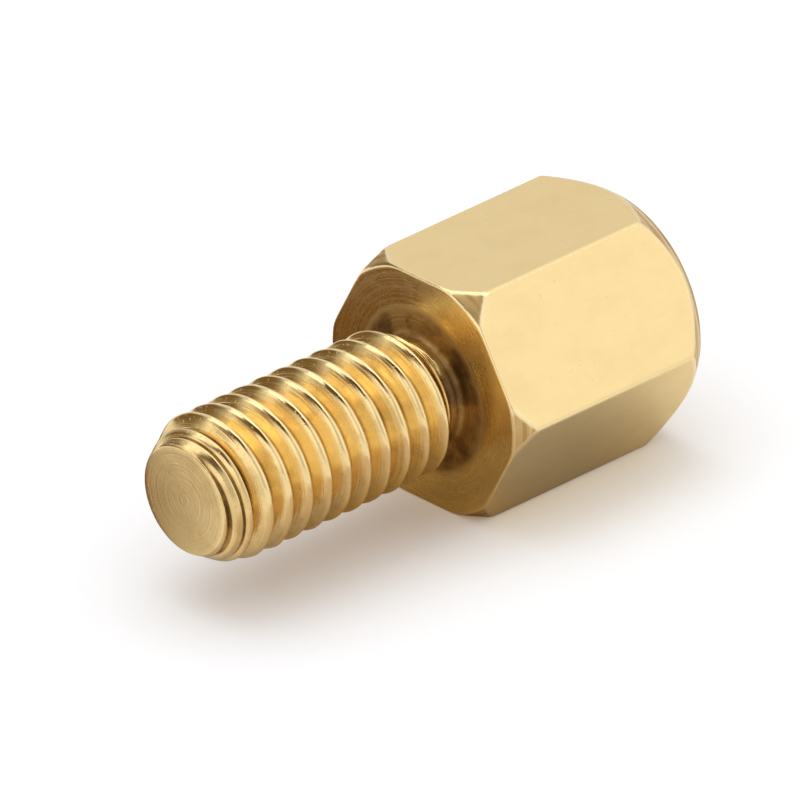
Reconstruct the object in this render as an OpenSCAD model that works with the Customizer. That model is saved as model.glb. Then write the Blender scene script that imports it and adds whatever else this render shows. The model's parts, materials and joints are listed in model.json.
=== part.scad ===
// Hex standoff with a threaded stud at one end and a tapped hole at the other,
// turned from hexagonal brass bar. It lies on one flat, with its long axis along X.
// The stud points to -X and the tapped hole opens to +X. The origin is the middle
// of its footprint, on the surface that it lies on. All lengths are in millimetres.

/* [Hexagon bar] */
// Width of the bar across its flats
across_flats = 4.8; // [4.5:0.1:8]
// Height taken off each of the bar's six long edges, where drawing rounds them
corner_break = 0.02; // [0:0.01:0.1]

/* [Body] */
// Length of the hexagon, from the shoulder to the open end
body_length = 5.15; // [3:0.05:30]
// Length along the axis of the chamfer at the shoulder, at the hexagon's corners
shoulder_chamfer = 0.42; // [0.1:0.02:0.6]
// Length along the axis of the chamfer at the open end, at the hexagon's corners
open_chamfer = 0.7; // [0.1:0.02:0.9]
// Angle between the open end's chamfer and the axis
open_chamfer_angle = 38; // [30:1:45]

/* [Thread] */
// Outer diameter of the thread, on the stud and in the hole
thread_d = 3; // [2.4:0.1:3.4]
// Distance from one turn of the thread to the next
thread_pitch = 0.5; // [0.35:0.05:0.6]

/* [Stud] */
// Length of the stud, from the shoulder to its tip
stud_length = 6.1; // [3:0.1:20]
// Length along the axis of the lead chamfer at the stud's tip
tip_chamfer = 0.7; // [0.2:0.05:1]
// Angle between the chamfers at the tip and at the shoulder, and the axis
chamfer_angle = 30; // [20:1:40]

/* [Relief groove] */
// Depth of the groove at the stud's root, below the outside of the thread
relief_depth = 0.4; // [0.34:0.02:0.6]
// Length of the groove's floor, from the shoulder
relief_width = 0.3; // [0.2:0.05:1]
// Angle between the groove's sloped side and the axis, where the thread runs out
relief_slope = 45; // [30:5:60]
// Radius of the fillet between the groove's floor and the shoulder
relief_fillet = 0.12; // [0.05:0.01:0.18]

/* [Tapped hole] */
// Solid metal between the point of the drilled hole and the shoulder
web = 0.65; // [0.4:0.05:2]
// Full angle of the drill's point
drill_point_angle = 118; // [90:1:135]
// Full angle of the countersink at the hole's mouth
countersink_angle = 90; // [60:5:120]
// Amount by which the countersink's mouth is wider than the thread
countersink_margin = 0.3; // [0.1:0.05:0.6]

/* [Hidden] */

// Curves are drawn with this many sides.
$fn = 96;
// Bar stock left beyond each end before the ends are faced, and the cutters' overrun.
spare = 1;
// A hexagon's centre lies this part of its corner radius from each flat.
flat_ratio = cos(30);
// Each flank of the thread leans this far from a plane across the axis.
flank_angle = 30;

corner_r = across_flats / 2 / flat_ratio - corner_break;
shoulder_r = corner_r - shoulder_chamfer * tan(chamfer_angle);
open_face_r = corner_r - open_chamfer * tan(open_chamfer_angle);
thread_r = thread_d / 2;
tip_r = thread_r - tip_chamfer * tan(chamfer_angle);
groove_r = thread_r - relief_depth;
// Where the thread's full diameter begins, measured from the shoulder.
full_thread_at = relief_width + relief_depth / tan(relief_slope);

// The flats that a metric thread has on its crests and roots, and what they leave.
crest_width = thread_pitch / 8;
root_width = thread_pitch / 4;
flank_width = (thread_pitch - crest_width - root_width) / 2;
thread_depth = flank_width / tan(flank_angle);
thread_start = full_thread_at + crest_width;
last_turn = floor((stud_length - thread_start) / thread_pitch);

tap_drill_r = (thread_d - thread_pitch) / 2;
drill_point = tap_drill_r / tan(drill_point_angle / 2);
countersink_r = (thread_d + countersink_margin) / 2;
countersink_depth = (countersink_r - tap_drill_r) / tan(countersink_angle / 2);

// Lays a shape that was turned about Z along X, on one of its flats, with the
// middle of its length over the origin.
module lie_down() {
    translate([(stud_length - body_length) / 2, 0, across_flats / 2])
        rotate([90, 0, 90]) children();
}

// The hexagonal bar that the part is cut from, with the shoulder at height 0.
module bar() {
    translate([0, 0, -stud_length - spare])
        cylinder(r = across_flats / 2 / flat_ratio,
                 h = stud_length + body_length + 2 * spare, $fn = 6);
}

// The outline that the lathe turns, as radius against height: lead chamfer, stud,
// relief groove, shoulder, and the body between its two chamfers.
module turned_blank() {
    polygon([
        [0, -stud_length],
        [tip_r, -stud_length],
        [thread_r, -stud_length + tip_chamfer],
        [thread_r, -full_thread_at],
        [groove_r, -relief_width],
        [groove_r, 0],
        [shoulder_r, 0],
        [corner_r, shoulder_chamfer],
        [corner_r, body_length - open_chamfer],
        [open_face_r, body_length],
        [0, body_length]
    ]);
}

// The fillet that the grooving tool's nose leaves between the groove and the shoulder.
module fillet_section() {
    translate([groove_r, -relief_fillet]) difference() {
        square(relief_fillet);
        translate([relief_fillet, 0]) circle(r = relief_fillet);
    }
}

// One groove of the thread, from the crest at the origin towards the stud's tip.
module thread_groove() {
    polygon([
        [0, 0],
        [-thread_depth, -flank_width],
        [-thread_depth, -flank_width - root_width],
        [0, -2 * flank_width - root_width],
        [spare, -2 * flank_width - root_width],
        [spare, 0]
    ]);
}

// All that is turned. The thread's true section repeats as level rings, one a pitch.
module turned_section() {
    difference() {
        turned_blank();
        for (turn = [0 : last_turn])
            translate([thread_r, -thread_start - turn * thread_pitch]) thread_groove();
    }
    fillet_section();
}

// What the drill and the countersink take out, from the drill's point to the mouth.
module hole_section() {
    polygon([
        [0, web],
        [tap_drill_r, web + drill_point],
        [tap_drill_r, body_length - countersink_depth],
        [countersink_r, body_length],
        [countersink_r, body_length + spare],
        [0, body_length + spare]
    ]);
}

module hex_standoff() {
    color([0.84, 0.70, 0.43]) lie_down() difference() {
        intersection() {
            bar();
            rotate_extrude() turned_section();
        }
        rotate_extrude() hole_section();
    }
}

hex_standoff();
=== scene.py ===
# %% [markdown]
# # A brass hex standoff
#
# A hex standoff holds a board clear of its base. This one is a single piece of brass:
# a hexagonal body with a tapped hole in one end, and a threaded stud at the other.
# It is made on a lathe from hexagonal bar, so we make it the same way here: shapes are
# turned by spinning a profile, and the flats of the bar stay where the lathe cut nothing.
#
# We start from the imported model, which fixes the place and the size of everything.

# %% Load the frame
import json
from math import atan, atan2, cos, hypot, pi, radians, sin, tan

import bmesh
import bpy
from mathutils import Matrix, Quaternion, Vector
from mathutils.noise import noise as wander

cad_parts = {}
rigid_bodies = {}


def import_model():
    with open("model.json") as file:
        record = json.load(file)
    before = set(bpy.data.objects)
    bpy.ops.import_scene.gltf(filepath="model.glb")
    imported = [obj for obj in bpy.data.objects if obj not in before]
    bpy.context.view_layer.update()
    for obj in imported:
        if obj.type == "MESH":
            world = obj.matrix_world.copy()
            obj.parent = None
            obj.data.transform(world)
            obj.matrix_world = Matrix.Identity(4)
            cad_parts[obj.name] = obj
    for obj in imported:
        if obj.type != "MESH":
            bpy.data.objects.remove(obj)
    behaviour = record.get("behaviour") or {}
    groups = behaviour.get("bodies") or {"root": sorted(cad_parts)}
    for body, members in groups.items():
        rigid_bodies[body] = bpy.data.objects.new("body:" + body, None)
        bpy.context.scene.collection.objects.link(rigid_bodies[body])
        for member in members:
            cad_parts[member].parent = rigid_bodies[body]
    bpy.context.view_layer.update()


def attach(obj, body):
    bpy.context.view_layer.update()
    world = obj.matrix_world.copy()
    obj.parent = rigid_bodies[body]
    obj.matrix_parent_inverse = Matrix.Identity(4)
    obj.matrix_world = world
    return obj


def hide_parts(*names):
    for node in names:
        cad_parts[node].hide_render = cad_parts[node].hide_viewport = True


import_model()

# %% [markdown]
# ## Sizes
#
# The lathe's drawing is in millimetres, so the shapes are made in millimetres and
# scaled to Blender's metres once, at the end. Lengths along the part are measured as x,
# and the part's axis is the line y = 0, z = 0 until it is laid down on its flat.

# %% Name the sizes of the body
MM = 0.001
HEX_WIDTH = 4.8
BODY_LENGTH, STUD_LENGTH = 5.15, 6.1
TIP_X = -(BODY_LENGTH + STUD_LENGTH) / 2
SHOULDER_X = TIP_X + STUD_LENGTH
OPEN_X = SHOULDER_X + BODY_LENGTH

BETWEEN_FLATS, TO_CORNER = radians(60), radians(30)
CORNER_WEAR = 0.02
CORNER_R = HEX_WIDTH / 2 / cos(TO_CORNER) - CORNER_WEAR

CHAMFER_SLOPE, OPEN_SLOPE = tan(radians(30)), tan(radians(38))
SHOULDER_CHAMFER, OPEN_CHAMFER = 0.42, 0.7
SHOULDER_R = CORNER_R - SHOULDER_CHAMFER * CHAMFER_SLOPE
OPEN_R = CORNER_R - OPEN_CHAMFER * OPEN_SLOPE
print("x of tip, shoulder and open end:", TIP_X, SHOULDER_X, OPEN_X)

# %% Name the sizes of the stud and the hole
THREAD_R, PITCH = 1.5, 0.5
LEAD_CHAMFER = 0.7
TIP_R = THREAD_R - LEAD_CHAMFER * CHAMFER_SLOPE
NECK_R, NECK_END = 1.1, 0.3

DRILL_R, MOUTH_R = 1.25, 1.65
POINT_SLOPE = tan(radians(59))
WALL_BEHIND_HOLE = 0.65
POINT_X = SHOULDER_X + WALL_BEHIND_HOLE
DRILL_X = POINT_X + DRILL_R / POINT_SLOPE
print("x of the drill's point and of the hole's full width:", POINT_X, round(DRILL_X, 3))

# %% [markdown]
# ## Worn corners
#
# No metal edge is perfectly sharp, and the thin bright line along each edge is what
# makes metal look like metal. A bevel could be put on afterwards, but here curved
# chamfers run into flats and die out, where a bevel breaks up. Instead, every surface
# is written as a distance, and the corner between two of them is blended.

# %% Blend two surfaces
def outer_of(a, b, width):
    """The larger of two distances, rounded over where they are nearly equal."""
    near = max(width - abs(a - b), 0) / width
    return max(a, b) + near * near * width / 4


def inner_of(a, b, width):
    """The smaller of two distances, rounded in the same way."""
    return -outer_of(-a, -b, width)


print("blend of two equal faces 0.06 mm wide:", outer_of(0, 0, 0.06))

# %% [markdown]
# ## The finished body as distances
#
# The body is what is left inside six flats, two end faces and two turned cones. Where a
# cone meets a flat it leaves the curved edge that hexagonal nuts have too. Cutting a
# solid with a cone would give that edge as well, but dead sharp and with uneven faces
# beside it. As distances, the same surfaces also say where an edge is worn, which is
# also painted paler as a highlight.

# %% Distance to the finished body
EDGE = 0.055


def from_flat_centre(angle):
    """The angle from the middle of the nearest flat, 0 to 30 degrees."""
    return abs(angle % BETWEEN_FLATS - TO_CORNER)


def surfaces(x, r, angle):
    """How far a point lies outside the flats, the end faces and the chamfers."""
    across = from_flat_centre(angle)
    flats = [r * cos(across) - HEX_WIDTH / 2, r * cos(BETWEEN_FLATS - across) - HEX_WIDTH / 2]
    ends = ((x - SHOULDER_X, SHOULDER_R, CHAMFER_SLOPE), (OPEN_X - x, OPEN_R, OPEN_SLOPE))
    faces = [-depth for depth, face_r, slope in ends]
    chamfers = [(r - face_r - depth * slope) * cos(atan(slope)) for depth, face_r, slope in ends]
    return flats, faces, chamfers


def outside_body(x, r, angle):
    """How far a point lies outside the body. Inside, it is negative."""
    flats, faces, chamfers = surfaces(x, r, angle)
    shape = outer_of(outer_of(*flats, EDGE), r - CORNER_R, EDGE / 3)
    for face, chamfer in zip(faces, chamfers):
        shape = outer_of(outer_of(shape, chamfer, EDGE), face, EDGE)
    return shape


print("outside the middle of a flat by", round(outside_body(3, 3, TO_CORNER), 3), "mm")

# %% Where the body is worn and painted paler as a highlight, and where it is cut
def edge_wear_and_highlight(x, r, angle):
    """1 on an edge of the body, where two of its surfaces meet, and 0 away from edges."""
    second, first = sorted(sum(surfaces(x, r, angle), []))[-2:]
    return max(0, 1 - (first - second) / EDGE)


def chamfer_cut(x, r, angle):
    """1 inside a chamfer, and 0 on the flats and the end faces."""
    flats, faces, chamfers = surfaces(x, r, angle)
    return min(max((max(chamfers) - max(flats + faces)) / (EDGE / 2), 0), 1)


print("wear on the rim of the shoulder:", edge_wear_and_highlight(SHOULDER_X, SHOULDER_R, TO_CORNER))

# %% [markdown]
# ## Rows of the body
#
# A turned shape is a profile spun round the axis. Our profile is a list of rows, and
# each row says where its ring of points goes: some stay on a plain circle, others slide
# out along a ray until they meet the finished body. Rows are packed closely beside the
# edges, so that light rolls over each worn corner and the faces between stay flat.

# %% Slide a point out to the body
CORE_R, CORE_DEPTH = 1.9, 1.0
REACH, HALVINGS = 3.0, 34


def slide_out(x, r, ray_x, ray_r, angle):
    """Where a ray from inside meets the body, found by halving the stretch it is in."""
    near, far = 0.0, REACH
    for _ in range(HALVINGS):
        half = (near + far) / 2
        if outside_body(x + half * ray_x, r + half * ray_r, angle) < 0:
            near = half
        else:
            far = half
    return x + near * ray_x, r + near * ray_r


print("half the bar's width:", slide_out(3, CORE_R, 0, 1, TO_CORNER)[1])

# %% [markdown]
# At each end, rays fan out from a point in the core. Some go to the face, some over the
# chamfer and some to the flat. The chamfer is widest at a corner of the hexagon and dies
# out on the flat, so the fan is worked out afresh for every angle round the axis.

# %% Fan out over an end
FACE_PARTS, FACE_EDGE_STEPS = (0, 0.35, 0.65), (0.075, 0.05, 0.03, 0.014)
CHAMFER_PARTS, NARROWEST_CHAMFER = (0, 0.07, 0.16, 0.3, 0.5, 0.7, 0.84, 0.93, 1), 0.03
FLAT_EDGE_STEPS, FLAT_PARTS = (0.016, 0.034, 0.056, 0.085, 0.12), (0.5, 1)


def end_rays(angle, face_r, slope):
    """Directions from the core to the worn edges of an end, as angles from the axis."""
    across = from_flat_centre(angle)
    edge_r = min(HEX_WIDTH / 2 / cos(across), CORNER_R)
    cone_length = max(edge_r - face_r, 0) / slope
    face_edge = atan2(min(edge_r, face_r) - CORE_R, CORE_DEPTH)
    flat_edge = atan2(edge_r - CORE_R, CORE_DEPTH - cone_length)
    middle = (face_edge + flat_edge) / 2
    half = max(flat_edge - face_edge, NARROWEST_CHAMFER) / 2
    face_edge, flat_edge = middle - half, middle + half
    before = [face_edge * part for part in FACE_PARTS]
    beside = [face_edge - step for step in FACE_EDGE_STEPS]
    between = [face_edge + 2 * half * part for part in CHAMFER_PARTS]
    after = [flat_edge + step for step in FLAT_EDGE_STEPS]
    rest = [flat_edge + (pi / 2 - flat_edge) * part for part in FLAT_PARTS]
    return before + beside + between + after + rest


ray_count = len(end_rays(0, SHOULDER_R, CHAMFER_SLOPE))
print("rows at each end of the body:", ray_count)

# %% Three kinds of row
def circle_row(x, r):
    return lambda angle: (x, r)


def bar_row(x):
    return lambda angle: slide_out(x, CORE_R, 0, 1, angle)


def end_row(number, end_x, inward, face_r, slope):
    def place(angle):
        ray = end_rays(angle, face_r, slope)[number]
        return slide_out(end_x + inward * CORE_DEPTH, CORE_R, -inward * cos(ray), sin(ray), angle)
    return place


print("a row on the bar, at the middle of a flat:", bar_row(3)(TO_CORNER))

# %% [markdown]
# The rows are listed from the neck of the stud, round the fillet that the tool's nose
# leaves, up the shoulder, along the bar, down the open end and into the hole's mouth.

# %% Collect the rows
FILLET = 0.12
FILLET_TURNS = (0, 15, 30, 45, 60, 75, 90)
NECK_ROW_X = SHOULDER_X - 0.2
MOUTH_DEPTH = 0.03
SHOULDER_CIRCLES, BAR_PARTS, OPEN_CIRCLES = (1.26, 1.5, 1.75), (0.35, 0.5, 0.65), (1.8, 1.72, 1.69)
MOUTH_CURVE = ((0.004, 0.017), (0.014, -0.003), (MOUTH_DEPTH, -MOUTH_DEPTH))

body_rows = [circle_row(NECK_ROW_X, NECK_R)]
body_rows += [circle_row(SHOULDER_X - FILLET + FILLET * sin(radians(turn)),
                         NECK_R + FILLET - FILLET * cos(radians(turn))) for turn in FILLET_TURNS]
body_rows += [circle_row(SHOULDER_X, r) for r in SHOULDER_CIRCLES]
body_rows += [end_row(n, SHOULDER_X, 1, SHOULDER_R, CHAMFER_SLOPE) for n in range(ray_count)]
body_rows += [bar_row(SHOULDER_X + BODY_LENGTH * part) for part in BAR_PARTS]
body_rows += [end_row(n, OPEN_X, -1, OPEN_R, OPEN_SLOPE) for n in reversed(range(ray_count))]
body_rows += [circle_row(OPEN_X, r) for r in OPEN_CIRCLES]
body_rows += [circle_row(OPEN_X - depth, MOUTH_R + out) for depth, out in MOUTH_CURVE]
print("rows in the body's profile:", len(body_rows))

# %% [markdown]
# ## Spin the body
#
# bmesh's spin turns the profile into rings. Each vertex keeps the number of its row in
# a layer, so that afterwards it can be put where its row says. Three more layers carry
# what the finishes need to know: where an edge is worn and gets a painted highlight, how
# deep in a recess a point lies, which sets painted shade and a painted warm glow, and
# where the coarse cut of a chamfer is.

# %% Spin a profile
COLUMNS = 192
AXIS = Vector((1, 0, 0))
part = bmesh.new()
row_number = part.verts.layers.int.new("row_number")
wear_and_highlight = part.verts.layers.float.new("edge_wear_and_highlight")
recess = part.verts.layers.float.new("recess")
coarse = part.verts.layers.float.new("coarse_cut")


def spin(points, rise=0.0, columns=COLUMNS):
    """Spins a profile once round the axis. A rise makes it one turn of a screw."""
    before = set(part.verts)
    verts = [part.verts.new((x, 0, r)) for x, r in points]
    edges = [part.edges.new(pair) for pair in zip(verts, verts[1:])]
    for number, vert in enumerate(verts, 1):
        vert[row_number] = number
    bmesh.ops.spin(part, geom=verts + edges, cent=(0, 0, 0), axis=AXIS,
                   dvec=AXIS * rise / columns, angle=2 * pi, steps=columns,
                   use_merge=rise == 0, use_duplicate=False)
    return [vert for vert in part.verts if vert not in before]


print("layers:", part.verts.layers.int.keys() + part.verts.layers.float.keys())

# %% [markdown]
# A spun row starts as a plain circle. Its columns crowd towards the six long edges,
# which are worn round as well, and then each vertex moves to its row's place. The flats
# are all alike, so a place that is worked out for one serves for its mirror images.

# %% Put the rows in their places
CROWDING = 0.9
# Painted shade darkens the shoulder within this radius round the stud, fading out over this width.
STUD_SHADE_R, STUD_SHADE_FADE = 2.2, 0.6


def beside_stud(x, r):
    """1 in the corner between stud and shoulder, falling to 0 out on the shoulder. It puts painted shade
    in that corner.
    """
    return min(max((STUD_SHADE_R - r) / STUD_SHADE_FADE, 0), 1) if x < SHOULDER_X + 0.1 else 0


def place_rows(verts, rows):
    known = {}
    for vert in verts:
        angle = atan2(vert.co.z, vert.co.y)
        crowded = angle - sin(6 * angle) * CROWDING / 6
        across = round(from_flat_centre(crowded), 6)
        key = (vert[row_number], across)
        if key not in known:
            angle = across + TO_CORNER
            x, r = rows[vert[row_number] - 1](angle)
            known[key] = x, r, edge_wear_and_highlight(x, r, angle), chamfer_cut(x, r, angle), beside_stud(x, r)
        x, r, vert[wear_and_highlight], vert[coarse], vert[recess] = known[key]
        vert.co = (x, r * cos(crowded), r * sin(crowded))


body_verts = spin([(index * 0.1, 1) for index in range(len(body_rows))])
place_rows(body_verts, body_rows)
print("vertices in the body:", len(body_verts))

# %% [markdown]
# ## The thread
#
# A thread is one V shaped groove that climbs round the stud. Rings side by side would
# look much the same from far off, but they don't lean, and their ends give them away.
# Spinning a profile one pitch long, with a rise of one pitch a turn, gives rows that
# follow the groove, so its crest is a clean line.

# %% Section of the thread
FLANK = tan(radians(30))
ROOT_R = 1.135
CREST_WIDTH = PITCH / 5
CREST_ROUND, ROOT_ROUND = 0.09, 0.07
ROW_CROWDING = 0.35


def from_crest(x):
    return abs((x + PITCH / 2) % PITCH - PITCH / 2)


def stud_thread(x):
    flank = THREAD_R - (from_crest(x) - CREST_WIDTH / 2) / FLANK
    return outer_of(inner_of(THREAD_R, flank, CREST_ROUND), ROOT_R, ROOT_ROUND)


def steps_of_pitch(count):
    """Places along one pitch, closer together at the crest and the root."""
    return [PITCH * (n / count - ROW_CROWDING * sin(4 * pi * n / count) / (4 * pi))
            for n in range(count + 1)]


print("radius at crest and root:", stud_thread(0), stud_thread(PITCH / 2))

# %% Screw it up along the axis
def in_order(items):
    """Each item once, in the order they came in. A set would shuffle them every run."""
    return list(dict.fromkeys(items))


def screw(points, turns, columns):
    """One turn of a screw, copied along the axis and sewn up."""
    turn = spin(points, PITCH, columns)
    faces = in_order(face for vert in turn for face in vert.link_faces)
    verts = list(turn)
    for count in range(1, turns):
        copy = bmesh.ops.duplicate(part, geom=faces)["geom"]
        new = [item for item in copy if isinstance(item, bmesh.types.BMVert)]
        bmesh.ops.translate(part, verts=new, vec=AXIS * PITCH * count)
        verts += new
    bmesh.ops.remove_doubles(part, verts=verts, dist=1e-4)
    return [vert for vert in verts if vert.is_valid]


THREAD_COLUMNS, THREAD_ROWS = 160, 26
thread_steps = steps_of_pitch(THREAD_ROWS)
thread_start = TIP_X - 1.5 * PITCH
thread_verts = screw([(thread_start + step, stud_thread(step)) for step in thread_steps],
                     int(STUD_LENGTH / PITCH) + 3, THREAD_COLUMNS)
print("vertices in the thread:", len(thread_verts))

# %% [markdown]
# ## The blank that the thread is cut in
#
# Two turned shapes bound the thread: the lead chamfer at the tip, and the relief groove
# at the shoulder, where it fades out on a slope. On the chamfer the crest isn't full, so
# a fold runs along it, as on a rolled thread, and a shallow groove runs halfway between
# crests. Each vertex knows its row, and so how far from the crest it lies, and the fold
# can be cut along the thread without following its turns.

# %% Shape the blank, the fold and the groove
SLOPE_ROUND, CHAMFER_ROUND = 0.06, 0.05
FULL_CREST, CREST_FADE, RIM_FADE = 0.03, 0.12, 0.07
FOLD_DEPTH, FOLD_REACH = 0.08, 0.055
GROOVE_DEPTH, GROOVE_REACH = 0.11, PITCH / 6


def stud_blank(x):
    """Radius of the stud before its thread is cut."""
    chamfer = TIP_R + (x - TIP_X) * CHAMFER_SLOPE
    slope = outer_of(NECK_R, NECK_R + (SHOULDER_X - x) - NECK_END, SLOPE_ROUND)
    return inner_of(chamfer, slope, CHAMFER_ROUND)


def crease(step, blank):
    """Depth of the fold along a crest that the chamfer kept from filling up, and of the
    groove halfway between crests, which dies out at the rim of the tip."""
    unfilled = min(max((THREAD_R - FULL_CREST - blank) / CREST_FADE, 0), 1)
    from_rim = min(max((blank - TIP_R) / RIM_FADE, 0), 1)
    fold = FOLD_DEPTH * max(1 - from_crest(step) / FOLD_REACH, 0)
    groove = GROOVE_DEPTH * max(1 - (PITCH / 2 - from_crest(step)) / GROOVE_REACH, 0)
    return unfilled * (fold + groove * from_rim)


print("radius of the blank in mid stud:", stud_blank(TIP_X + STUD_LENGTH / 2))

# %% Cut the stud's thread
LEAST_R, CUT_ROUND = 0.2, 0.03
WORN_AND_HIGHLIT_DEPTH = 0.06
WANDER, WANDER_SCALE = 0.012, 2.2
FOLD_SHADE_DEPTH = 0.07

for vert in thread_verts:
    r = hypot(vert.co.y, vert.co.z)
    blank = max(stud_blank(vert.co.x), LEAST_R)
    deep = crease(thread_steps[vert[row_number] - 1], blank)
    wanted = inner_of(r, blank, CUT_ROUND) - deep
    # Near the crest the metal is marked for a paler colour, partly wear and partly a painted highlight.
    vert[wear_and_highlight] = max(0, 1 - (THREAD_R - wanted) / WORN_AND_HIGHLIT_DEPTH)
    wanted += WANDER * wander(vert.co * WANDER_SCALE)
    # The depth below the crest, with the fold and the groove, later sets painted shade and a painted warm
    # glow.
    below = (min(blank, THREAD_R) - wanted) / (THREAD_R - ROOT_R)
    vert[recess] = min(max(below, 0), 1) + deep / FOLD_SHADE_DEPTH
    vert.co.yz = vert.co.yz * (wanted / r)
print("deepest recess:", round(max(vert[recess] for vert in thread_verts), 2))

# %% [markdown]
# ## Trim it and close it
#
# The screw starts before the tip and runs on past the neck, so that whole turns are
# there to cut. bisect_plane cuts it square at both ends. What is left open is two rings
# of edges, and bridge_loops joins each to the ring of the part next to it, even where
# the two have different numbers of columns.

# %% Trim it to length
def trim(verts, x, keep):
    """Cuts a shell at x and keeps the side that the sign of keep says."""
    verts = [vert for vert in verts if vert.is_valid]
    faces = in_order(face for vert in verts for face in vert.link_faces)
    edges = in_order(edge for vert in verts for edge in vert.link_edges)
    cut = bmesh.ops.bisect_plane(part, geom=verts + edges + faces, dist=1e-6,
                                 plane_co=(x, 0, 0), plane_no=AXIS * keep,
                                 clear_inner=True, clear_outer=False)
    made = [item for item in cut["geom_cut"] if isinstance(item, bmesh.types.BMVert)]
    return [vert for vert in verts if vert.is_valid] + made


TIP_CUT, NECK_CUT = TIP_X + 0.04, SHOULDER_X - 0.26
thread_verts = trim(thread_verts, TIP_CUT, 1)
thread_verts = trim(thread_verts, NECK_CUT, -1)
print("vertices left:", len(thread_verts))

# %% Close the stud
POLE_COLUMNS = 96
TIP_CURVE = ((0.028, 0.014), (0.014, 0.003), (0.004, -0.012), (0, -0.035), (0, -0.12), (0, -0.5))


def open_edges(x):
    return [edge for edge in part.edges if len(edge.link_faces) == 1
            and all(abs(vert.co.x - x) < 1e-3 for vert in edge.verts)]


def bridge(x_a, x_b):
    edges = open_edges(x_a) + open_edges(x_b)
    made = bmesh.ops.bridge_loops(part, edges=edges)
    print("bridged", len(edges), "edges with", len(made["faces"]), "faces")


tip_circles = [(TIP_X + back, TIP_R + out) for back, out in TIP_CURVE] + [(TIP_X, 0)]
tip_verts = spin([(index * 0.1, 1) for index in range(len(tip_circles))], columns=POLE_COLUMNS)
for vert in tip_verts:
    angle = atan2(vert.co.z, vert.co.y)
    x, r = tip_circles[vert[row_number] - 1]
    vert.co = (x, r * cos(angle), r * sin(angle))
bmesh.ops.remove_doubles(part, verts=tip_verts, dist=1e-4)
bridge(TIP_CUT, tip_circles[0][0])
bridge(NECK_CUT, NECK_ROW_X)

# %% [markdown]
# ## The tapped hole
#
# The drill leaves a plain hole with a cone at its bottom, the countersink opens its
# mouth, and the tap cuts a thread into its wall that fades out before the bottom. The
# same screw makes it, with its section turned inside out: the crests are what the
# drill left, and the groove goes out into the wall.

# %% Cut the hole's thread
TAP_START, TAP_LEAD = 0.1, 0.9
TAP_CLEARANCE, TAP_ROUND = 0.02, 0.04
HOLE_COLUMNS, HOLE_ROWS = 128, 20
MOUTH_CUT, BOTTOM_CUT = OPEN_X - 0.05, DRILL_X + 0.05


def hole_thread(x):
    cut = DRILL_R + (from_crest(x) - PITCH / 8) / FLANK
    return inner_of(outer_of(DRILL_R, cut, CUT_ROUND), THREAD_R + TAP_CLEARANCE, TAP_ROUND)


hole_start = DRILL_X - 1.2 * PITCH
hole_verts = screw([(hole_start + step, hole_thread(step)) for step in steps_of_pitch(HOLE_ROWS)],
                   int((OPEN_X - DRILL_X) / PITCH) + 3, HOLE_COLUMNS)
for vert in hole_verts:
    r = hypot(vert.co.y, vert.co.z)
    lead = min(max((vert.co.x - DRILL_X - TAP_START) / TAP_LEAD, 0), 1)
    cut = DRILL_R + (r - DRILL_R) * lead
    wanted = outer_of(cut, MOUTH_R - (OPEN_X - vert.co.x), CUT_ROUND)
    vert.co.yz = vert.co.yz * (wanted / r)
hole_verts = trim(hole_verts, BOTTOM_CUT, 1)
hole_verts = trim(hole_verts, MOUTH_CUT, -1)
bridge(MOUTH_CUT, OPEN_X - MOUTH_DEPTH)

# %% Close the bottom of the hole
BOTTOM_ROW_X, CONE_STEP = DRILL_X + 0.02, 0.3
drill_verts = spin([(BOTTOM_ROW_X, DRILL_R), (DRILL_X, DRILL_R),
                    (POINT_X + CONE_STEP, CONE_STEP * POINT_SLOPE), (POINT_X, 0)],
                   columns=POLE_COLUMNS)
bmesh.ops.remove_doubles(part, verts=drill_verts, dist=1e-4)
bridge(BOTTOM_CUT, BOTTOM_ROW_X)
print("vertices in the hole:", len(hole_verts) + len(drill_verts))

# %% [markdown]
# ## From bmesh to an object
#
# The shell is closed now, so its normals are made to point outwards. It is laid down on
# a flat by lifting it half the bar's width, and scaled to metres. The faces take one of
# three finishes: drawn where the bar's own skin is left, turned where the lathe cut it,
# and threaded where a die or a tap did.

# %% Sort the faces
DRAWN, TURNED, THREADED = 0, 1, 2


def finish_of(face):
    middle, normal = face.calc_center_median(), face.normal
    r = hypot(middle.y, middle.z)
    on_stud = TIP_X + 0.01 < middle.x < SHOULDER_X - 0.01
    if on_stud or r < MOUTH_R - MOUTH_DEPTH:
        return THREADED
    facing = from_flat_centre(atan2(normal.z, normal.y))
    across = from_flat_centre(atan2(middle.z, middle.y))
    on_flat = abs(normal.x) < 0.2 and r * cos(across) > HEX_WIDTH / 2 - 0.02
    return DRAWN if on_flat and facing < radians(20) else TURNED


bmesh.ops.recalc_face_normals(part, faces=part.faces)
for face in part.faces:
    face.smooth = True
    face.material_index = finish_of(face)
print("open edges:", sum(len(edge.link_faces) != 2 for edge in part.edges),
      "volume:", round(part.calc_volume(), 2), "mm3")

# %% Make the object
bmesh.ops.translate(part, verts=part.verts, vec=(0, 0, HEX_WIDTH / 2))
bmesh.ops.scale(part, verts=part.verts, vec=(MM, MM, MM))
mesh = bpy.data.meshes.new("hex_standoff_brass")
part.to_mesh(mesh)
part.free()
standoff = bpy.data.objects.new("hex_standoff_brass", mesh)
bpy.context.scene.collection.objects.link(standoff)
print("triangles:", sum(len(p.vertices) - 2 for p in mesh.polygons))

# %% [markdown]
# ## Building with shader nodes
#
# A material is a network of nodes. A few small helpers keep the networks readable: one
# adds a node and joins its inputs, others do a sum, stretch a range or mix two colours,
# and one starts a node group, which is an effect with named inputs and outputs that
# several materials can share.

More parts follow.
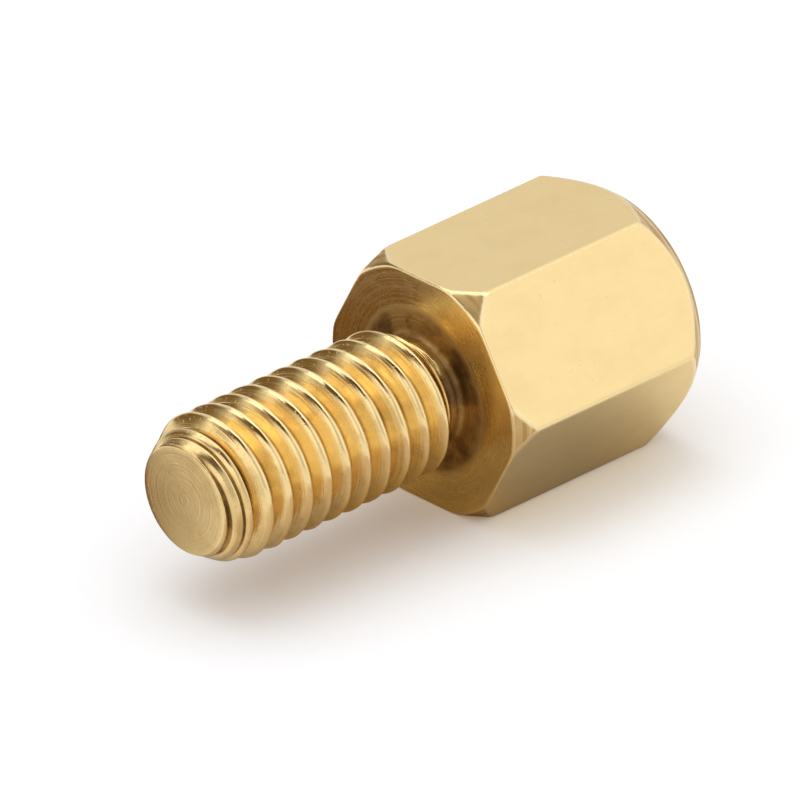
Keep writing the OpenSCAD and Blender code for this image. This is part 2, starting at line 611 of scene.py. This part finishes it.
# %% Node helpers
def add(tree, kind, inputs=None, **settings):
    """Adds a node. Each input is either a value or the socket that feeds it."""
    node = tree.nodes.new(kind)
    for name, value in settings.items():
        setattr(node, name, value)
    for name, value in (inputs or {}).items():
        if isinstance(value, bpy.types.NodeSocket):
            tree.links.new(value, node.inputs[name])
        else:
            node.inputs[name].default_value = value
    return node


def maths(tree, operation, a, b=0.0, clamp=False):
    return add(tree, "ShaderNodeMath", {0: a, 1: b}, operation=operation, use_clamp=clamp).outputs[0]


def ramp(tree, value, low, high, to_low=0.0, to_high=1.0):
    """A value's range stretched onto another one, eased at both ends."""
    return add(tree, "ShaderNodeMapRange", {"Value": value, "From Min": low, "From Max": high,
                                            "To Min": to_low, "To Max": to_high},
               interpolation_type="SMOOTHSTEP").outputs["Result"]


def mix(tree, factor, a, b):
    return add(tree, "ShaderNodeMix", {0: factor, 6: a, 7: b}, data_type="RGBA").outputs[2]


def new_group(name, inputs, outputs):
    """An empty group, with its inputs as sockets to read and its outputs to link to."""
    tree = bpy.data.node_groups.new(name, "ShaderNodeTree")
    for label, value in inputs.items():
        socket = tree.interface.new_socket(label, in_out="INPUT", socket_type="NodeSocketFloat")
        socket.default_value = value
    for label in outputs:
        tree.interface.new_socket(label, in_out="OUTPUT", socket_type="NodeSocketFloat")
    return tree, tree.nodes.new("NodeGroupInput").outputs, tree.nodes.new("NodeGroupOutput").inputs


print("node helpers ready")

# %% [markdown]
# Patterns need a place to start from. Object coordinates stay fixed to the piece however
# it is turned. They are put in millimetres and centred on the part's axis, because the
# lathe's marks go round that axis and the drawn lines run along it.

# %% Pattern helpers
def noise(tree, vector, scale, detail=2.0, roughness=0.5):
    return add(tree, "ShaderNodeTexNoise", {"Vector": vector, "Scale": scale, "Detail": detail,
                                            "Roughness": roughness}).outputs["Fac"]


def stretched(tree, scale, turn=(0, 0, 0)):
    """Object coordinates in millimetres, centred on the axis, turned and stretched."""
    here = add(tree, "ShaderNodeTexCoord").outputs["Object"]
    place = add(tree, "ShaderNodeMapping", {"Vector": here, "Location": (0, 0, -HEX_WIDTH / 2),
                                            "Scale": (1 / MM, 1 / MM, 1 / MM)}).outputs[0]
    return add(tree, "ShaderNodeMapping", {"Vector": place, "Rotation": turn,
                                           "Scale": scale}).outputs[0]


print("pattern helpers ready")

# %% [markdown]
# ## Turning marks
#
# A lathe tool leaves a fine spiral, so a turned face shows rings: round the axis on an
# end face, and side by side along a cylinder. Both are lines of equal distance
# travelled by the tool, which is the radius and the length put together. A wave along
# that travel would give rings as even as a record's. Noise in one dimension gives them
# uneven depths, like real ones, and a little shake keeps them from being perfect circles.

# %% Group: turning marks
TRAVEL_OUT, TRAVEL_ALONG, SHAKE = 1.7, 0.6, 0.12
turning, given, out = new_group("turning marks", {"Rings per mm": 14.0, "Unevenness": 0.5, "Mottle": 0.3},
                                ("Height", "Shade"))
x, y, z = add(turning, "ShaderNodeSeparateXYZ", {0: stretched(turning, (1, 1, 1))}).outputs
radius = maths(turning, "SQRT", maths(turning, "ADD", maths(turning, "MULTIPLY", y, y),
                                      maths(turning, "MULTIPLY", z, z)))
travel = maths(turning, "ADD", maths(turning, "MULTIPLY", radius, TRAVEL_OUT),
               maths(turning, "MULTIPLY", x, TRAVEL_ALONG))
shake = noise(turning, stretched(turning, (0.7, 0.7, 0.7)), 1.0)
travel = maths(turning, "ADD", travel, maths(turning, "MULTIPLY", shake, SHAKE))
fine = add(turning, "ShaderNodeTexNoise", {"W": travel, "Scale": given["Rings per mm"], "Detail": 2.0},
           noise_dimensions="1D").outputs["Fac"]
broad = add(turning, "ShaderNodeTexNoise", {"W": travel, "Scale": 5.0, "Detail": 2.0},
            noise_dimensions="1D").outputs["Fac"]
patch = ramp(turning, noise(turning, stretched(turning, (1.1, 1.1, 1.1)), 1.0), 0.35, 0.65)
fade = maths(turning, "SUBTRACT", 1.0, maths(turning, "MULTIPLY", patch, given["Unevenness"]))
tumbled = ramp(turning, radius, 0.95, 1.35, 0.3, 1.0)
rings = maths(turning, "MULTIPLY", maths(turning, "MULTIPLY", fine, fade), tumbled)
dents = noise(turning, stretched(turning, (3.5, 3.5, 3.5)), 1.0, 3.0, 0.6)
height = maths(turning, "ADD", rings, maths(turning, "MULTIPLY", dents, given["Mottle"]))
turning.links.new(height, out["Height"])
turning.links.new(ramp(turning, broad, 0.3, 0.7), out["Shade"])
print("turning marks:", len(turning.nodes), "nodes")

# %% [markdown]
# ## Drawn grain
#
# Bar is pulled through a die, which draws long faint lines along it. Noise stretched
# along X gives them. A second, rounder noise gives the soft satin texture between them.

# %% Group: drawn grain
grain, given, out = new_group("drawn grain", {"Lines": 0.5, "Satin": 0.5}, ("Height", "Shade"))
lines = noise(grain, stretched(grain, (0.5, 9, 9)), 1.0, 4.0, 0.6)
satin = noise(grain, stretched(grain, (3, 9, 9)), 1.0, 3.0, 0.65)
height = maths(grain, "ADD", maths(grain, "MULTIPLY", lines, given["Lines"]),
               maths(grain, "MULTIPLY", satin, given["Satin"]))
grain.links.new(height, out["Height"])
grain.links.new(ramp(grain, satin, 0.3, 0.7), out["Shade"])
print("drawn grain:", len(grain.nodes), "nodes")

# %% [markdown]
# ## Handling
#
# Brass dulls where fingers and other parts have touched it. Soft blotches darken and
# roughen it a little, small dark specks sit in pores, and a few hairline scratches run
# at odd angles. All three are masks, so a material decides how much each one shows.

# %% Group: handling
SCRATCH_TURNS = (0.5, -0.7)
handling, given, out = new_group("handling", {"Specks": 0.5}, ("Blotches", "Specks", "Scratches"))
blotch = noise(handling, stretched(handling, (0.9, 1.2, 1.2)), 1.0, 4.0, 0.6)
handling.links.new(ramp(handling, blotch, 0.42, 0.66), out["Blotches"])
pores = noise(handling, stretched(handling, (7, 7, 7)), 1.0, 2.0, 0.7)
speck = ramp(handling, pores, 0.66, 0.78)
handling.links.new(maths(handling, "MULTIPLY", speck, given["Specks"]), out["Specks"])
hairs = [ramp(handling, noise(handling, stretched(handling, (0.6, 16, 16), (0, turn, turn)), 1.0, 1.0),
              0.7, 0.76) for turn in SCRATCH_TURNS]
handling.links.new(maths(handling, "MAXIMUM", *hairs), out["Scratches"])
print("handling:", len(handling.nodes), "nodes")

# %% [markdown]
# ## Three finishes of one brass
#
# All three are the same metal, so they share its colour and differ in their marks. Worn
# edges are smoother, and paler, partly from wear and partly as a painted highlight. Places
# that tarnish reaches are browner and rougher. Grooves and the corner by the stud get
# painted shade, browner towards the bottom and almost black in patches at the very bottom,
# and grooves get a painted warm glow for light that bounces between their flanks. The
# colour of a metal is the colour of its reflections. The masks for edges and grooves could
# be guessed from the mesh's curvature, but we made the shape, so we know them exactly, and
# the layers of the mesh carry them.

# %% Colours and masks of the brass
BRASS = (0.92, 0.725, 0.36, 1)
# Paler brass on worn edges, partly wear and partly a painted highlight.
PALE_BRASS = (0.98, 0.84, 0.55, 1)
# Warm streaks, and a painted warm glow in grooves where light would bounce between the flanks.
GOLD = (0.92, 0.61, 0.2, 1)
# Tarnish, also used as painted shade towards the bottom of grooves.
TARNISH_AND_SHADE = (0.42, 0.25, 0.08, 1)
# Painted shade, almost black, in patches at the very bottom of grooves.
GROOVE_BLACK_SHADE = (0.09, 0.055, 0.03, 1)


def mask(tree, attribute, low=0.0, high=1.0):
    stored = add(tree, "ShaderNodeAttribute", attribute_name=attribute).outputs["Fac"]
    return ramp(tree, stored, low, high)


def weighed(tree, *pairs):
    """The sum of masks, each times its weight."""
    total = 0.0
    for value, weight in pairs:
        total = maths(tree, "ADD", total, maths(tree, "MULTIPLY", value, weight))
    return total


print("colour of clean brass:", BRASS[:3])

# %% One finish, from its marks to its bump
def brass_finish(name, marks, mark_values, mark_height, roughness, dulling, golden, shine):
    """A brass material. The mark's height is in millimetres. Dulling is how far handling
    tarnishes it, golden how warm its streaks are and how strong the painted warm glow in
    its grooves is, and shine how strongly its worn edges are painted paler as a highlight."""
    material = bpy.data.materials.new(name)
    material.use_nodes = True
    tree = material.node_tree
    shader = tree.nodes["Principled BSDF"]
    shader.inputs["Metallic"].default_value = 1
    mark = add(tree, "ShaderNodeGroup", mark_values, node_tree=marks).outputs
    touch = add(tree, "ShaderNodeGroup", node_tree=handling).outputs
    worn_and_highlit, cut = mask(tree, "edge_wear_and_highlight", 0.1, 0.9), mask(tree, "coarse_cut")
    groove, bottom = mask(tree, "recess", 0.0, 0.6), mask(tree, "recess", 0.7, 0.92)

    # Each mask darkens the metal by its weight: tarnish from handling and the coarse cut,
    # and painted shade towards the bottom of grooves. Wear takes it off again.
    scored = maths(tree, "MULTIPLY", cut, mark["Shade"])
    dull_and_shade = weighed(tree, (touch["Blotches"], dulling), (touch["Specks"], 0.4), (bottom, 0.85),
                   (cut, 0.25), (scored, 0.5))
    dull_and_shade = maths(tree, "SUBTRACT", dull_and_shade, worn_and_highlit, clamp=True)
    # Warmer in streaks, and a painted warm glow in grooves for light bouncing between the flanks.
    warm = weighed(tree, (mark["Shade"], golden), (groove, golden))
    # Painted shade, almost black, in patches at the very bottom of grooves and by the stud.
    deepest_shade = maths(tree, "MULTIPLY", mask(tree, "recess", 0.84, 1.0), touch["Blotches"])
    colour = mix(tree, maths(tree, "MINIMUM", warm, 1.0), BRASS, GOLD)
    colour = mix(tree, dull_and_shade, colour, TARNISH_AND_SHADE)
    colour = mix(tree, maths(tree, "MULTIPLY", deepest_shade, 0.75), colour, GROOVE_BLACK_SHADE)
    # Worn edges are painted paler, partly wear and partly a painted highlight.
    colour = mix(tree, maths(tree, "MULTIPLY", worn_and_highlit, shine), colour, PALE_BRASS)
    tree.links.new(colour, shader.inputs["Base Color"])

    rough = weighed(tree, (dull_and_shade, 0.35), (mark["Shade"], 0.07), (worn_and_highlit, -0.08))
    tree.links.new(maths(tree, "ADD", roughness, rough), shader.inputs["Roughness"])
    relief = maths(tree, "MULTIPLY", mark["Height"], maths(tree, "ADD", 1.0, cut))
    relief = maths(tree, "SUBTRACT", relief, maths(tree, "MULTIPLY", touch["Scratches"], 0.3))
    bump = add(tree, "ShaderNodeBump", {"Height": relief, "Distance": mark_height * MM})
    tree.links.new(bump.outputs["Normal"], shader.inputs["Normal"])
    return material


print("finish helper ready")

# %% The three finishes
mesh.materials.append(brass_finish(
    "brass drawn", grain, {"Lines": 0.6, "Satin": 0.4},
    mark_height=0.004, roughness=0.3, dulling=0.06, golden=0.07, shine=0.2))
mesh.materials.append(brass_finish(
    "brass turned", turning, {"Rings per mm": 12, "Unevenness": 0.8, "Mottle": 1.6},
    mark_height=0.003, roughness=0.22, dulling=0.18, golden=0.05, shine=0.4))
mesh.materials.append(brass_finish(
    "brass threaded", turning, {"Rings per mm": 9, "Unevenness": 0.4, "Mottle": 0.3},
    mark_height=0.009, roughness=0.15, dulling=0.3, golden=0.14, shine=0.2))
print("finishes:", [material.name for material in mesh.materials])

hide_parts("hex_standoff")
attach(standoff, "root")
print("piece:", standoff.name)

# %% [markdown]
# ## The floor
#
# The standoff lies on a sheet of white paper. Metal shows what is round it, and a face
# that looks down shows the paper. In its mirror image alone the paper has a few brown
# shades near the part, while to the camera it is plain and pale: a painted reflection of
# other parts that would lie behind it and dull it, and painted shadow beside and under it.
# Real parts could lie there instead, but then they would show too.

# %% Floor
FLOOR_HALF = 0.4
bm = bmesh.new()
bmesh.ops.create_grid(bm, x_segments=1, y_segments=1, size=FLOOR_HALF)
floor_mesh = bpy.data.meshes.new("floor")
bm.to_mesh(floor_mesh)
bm.free()
floor = bpy.data.objects.new("floor", floor_mesh)
bpy.context.scene.collection.objects.link(floor)
print("floor is", 2 * FLOOR_HALF, "m wide")

# %% White paper
# The paper glows warm to the camera alone and is tinted cool: white where lit, with painted warm bounce
# light in its shadow.
PAPER, PAPER_GLOW = (0.73, 0.79, 0.85, 1), (0.18, 0.115, 0.065, 1)
MIRRORED_PAPER = (0.8, 0.77, 0.74, 1)
# Each shade has its middle, how far it is full and where it ends, in millimetres.
# First a painted reflection of other parts behind, then painted shadow in front, before the stud and
# under it.
MIRRORED_SHADES = (((-4, 7, 0), 4, 8, (0.12, 0.05, 0.004, 1)),
                   ((1.5, -2, 0), 1.5, 5, (0.42, 0.4, 0.42, 1)),
                   ((-3.5, -4.5, 0), 2.5, 6, (0.55, 0.44, 0.35, 1)),
                   ((-1, 0.5, 0), 1.5, 4, (0.55, 0.4, 0.2, 1)))
paper = bpy.data.materials.new("white paper")
paper.use_nodes = True
sheet = paper.node_tree
shader = sheet.nodes["Principled BSDF"]
shader.inputs["Roughness"].default_value = 0.9
shader.inputs["Specular IOR Level"].default_value = 0
shader.inputs["Emission Color"].default_value = PAPER_GLOW
path = add(sheet, "ShaderNodeLightPath").outputs
spot = add(sheet, "ShaderNodeTexCoord").outputs["Object"]


def shade_near(place, inside, outside):
    """1 near a place on the paper, in millimetres, falling to 0 away from it."""
    away = add(sheet, "ShaderNodeVectorMath", {0: spot, 1: Vector(place) * MM},
               operation="DISTANCE").outputs["Value"]
    return maths(sheet, "SUBTRACT", 1.0, ramp(sheet, away, inside * MM, outside * MM))


mirrored = MIRRORED_PAPER
for place, inside, outside, colour in MIRRORED_SHADES:
    mirrored = mix(sheet, shade_near(place, inside, outside), mirrored, colour)
base = mix(sheet, path["Is Glossy Ray"], PAPER, mirrored)
sheet.links.new(base, shader.inputs["Base Color"])
sheet.links.new(path["Is Camera Ray"], shader.inputs["Emission Strength"])
floor_mesh.materials.append(paper)
print("paper:", len(sheet.nodes), "nodes")

# %% [markdown]
# ## The light tent
#
# White cloth is hung round small shiny parts, so that the metal has something pale to
# reflect. The tent is the world's colour here, which needs no objects. It starts as one
# plain light grey, and soft patches are then painted on it, one over the other. A real
# tent has bright cloth, dark gaps and a camera in it, but where they are isn't known, so
# each patch was tuned until the faces that mirror it had the tone of worn brass
# under soft light. Light that lands on the paper takes a smooth ramp from the horizon up
# instead, so the patches don't colour the shadow.

# %% Light tent
CLOTH = (0.64, 0.62, 0.6, 1)
# Each patch has its direction, where it starts and is full as a cosine, and its colour.
PATCHES = (
    ((0.58, 0.67, 0.46), 0.5, 0.95, (0.81, 0.795, 0.82, 1)),       # shows in the top flat
    ((0.58, -0.74, 0.35), 0.5, 0.95, (1.1, 1.08, 1.1, 1)),         # shows in the upper front flat
    ((-0.95, 0, 0.25), 0.6, 0.92, (1.2, 1.14, 1.08, 1)),           # the thread's flanks
    ((-0.3, 0.93, 0.15), 0.8, 0.93, (0.18, 0.115, 0.05, 1)),       # the far side of the thread
    ((0.45, -0.1, 0.89), 0.8, 0.93, (1.0, 0.97, 0.93, 1)),         # the thread's upper grooves
    ((-0.03, 0.24, 0.97), 0.9, 0.97, (0.1, 0.1, 0.1, 1)),          # behind the lamp, which adds to it
    ((0.34, -0.28, 0.9), 0.96, 0.99, (1.8, 1.66, 1.5, 1)),         # bright lines in those grooves
    ((-0.5, -0.15, 0.85), 0.88, 0.96, (0.1, 0.065, 0.04, 1)),      # dark lines beside them
    ((-0.78, 0.22, 0.58), 0.94, 0.98, (0.15, 0.08, 0.03, 1)),      # dark lines along the crests
    ((-0.55, 0.42, 0.72), 0.955, 0.985, (1.6, 1.55, 1.45, 1)))     # highlight on the lead chamfer
world = bpy.data.worlds.new("light tent")
bpy.context.scene.world = world
world.use_nodes = True
tent = world.node_tree
towards = add(tent, "ShaderNodeTexCoord").outputs["Generated"]


def glow(axis, start, end):
    """1 towards a direction, falling to 0 away from it."""
    near = add(tent, "ShaderNodeVectorMath", {0: towards, 1: Vector(axis).normalized()},
               operation="DOT_PRODUCT").outputs["Value"]
    return ramp(tent, near, start, end)


light = CLOTH
for axis, start, end, colour in PATCHES:
    light = mix(tent, glow(axis, start, end), light, colour)
upwards = add(tent, "ShaderNodeSeparateXYZ", {0: towards}).outputs[2]
overhead = ramp(tent, upwards, 0.0, 0.92, 0.03, 1.32)
path = add(tent, "ShaderNodeLightPath").outputs
light = mix(tent, path["Is Diffuse Ray"], light, overhead)
light = mix(tent, path["Is Camera Ray"], light, (1, 1, 1, 1))
tent.links.new(light, tent.nodes["Background"].inputs["Color"])
print("tent:", len(tent.nodes), "nodes")

# %% [markdown]
# ## One lamp
#
# A tent alone gives no direction to the light. One round lamp over the part, a little
# behind it, draws the bright lines along the crests of the thread and puts the shadow
# in front, below the stud. It is nearly as wide as it is far, so the shadow's edge is soft.

# %% Lamp
LAMP_PLACE, LAMP_WIDTH, LAMP_WATTS = Vector((-0.004, 0.034, 0.14)), 0.128, 0.046
LAMP_AIM = Vector((0, 0, 0.002))
lamp = bpy.data.lights.new("key", "AREA")
lamp.shape = "DISK"
lamp.size = LAMP_WIDTH
lamp.energy = LAMP_WATTS
holder = bpy.data.objects.new("key", lamp)
holder.location = LAMP_PLACE
holder.rotation_mode = "QUATERNION"
holder.rotation_quaternion = (LAMP_PLACE - LAMP_AIM).to_track_quat("Z", "Y")
bpy.context.scene.collection.objects.link(holder)
print("lamp is", round((LAMP_PLACE - LAMP_AIM).length, 3), "m from the part")

# %% [markdown]
# ## The camera
#
# A long lens from far off shows the near end of a small part no larger than the far one.
# The camera looks at the part's middle from above the stud's side and is turned a little
# about its own axis. The Standard view shows colours as they are written.

# %% Camera
AZIMUTH, ELEVATION, ROLL = radians(-42.0), radians(28.2), radians(-1.9)
DISTANCE = 0.499
LENS, SENSOR = 530, 16
camera_data = bpy.data.cameras.new("camera")
camera = bpy.data.objects.new("camera", camera_data)
bpy.context.scene.collection.objects.link(camera)
target = Vector((-0.0001, 0, 0.0024))
back = Vector((sin(AZIMUTH) * cos(ELEVATION), -cos(AZIMUTH) * cos(ELEVATION), sin(ELEVATION)))
camera.location = target + back * DISTANCE
camera.rotation_mode = "QUATERNION"
camera.rotation_quaternion = back.to_track_quat("Z", "Y") @ Quaternion((0, 0, 1), ROLL)
camera_data.lens = LENS
camera_data.sensor_width = SENSOR
camera_data.clip_start, camera_data.clip_end = 0.05, 5
bpy.context.scene.camera = camera
bpy.context.scene.view_settings.view_transform = "Standard"
print("camera at", [round(v, 3) for v in camera.location])
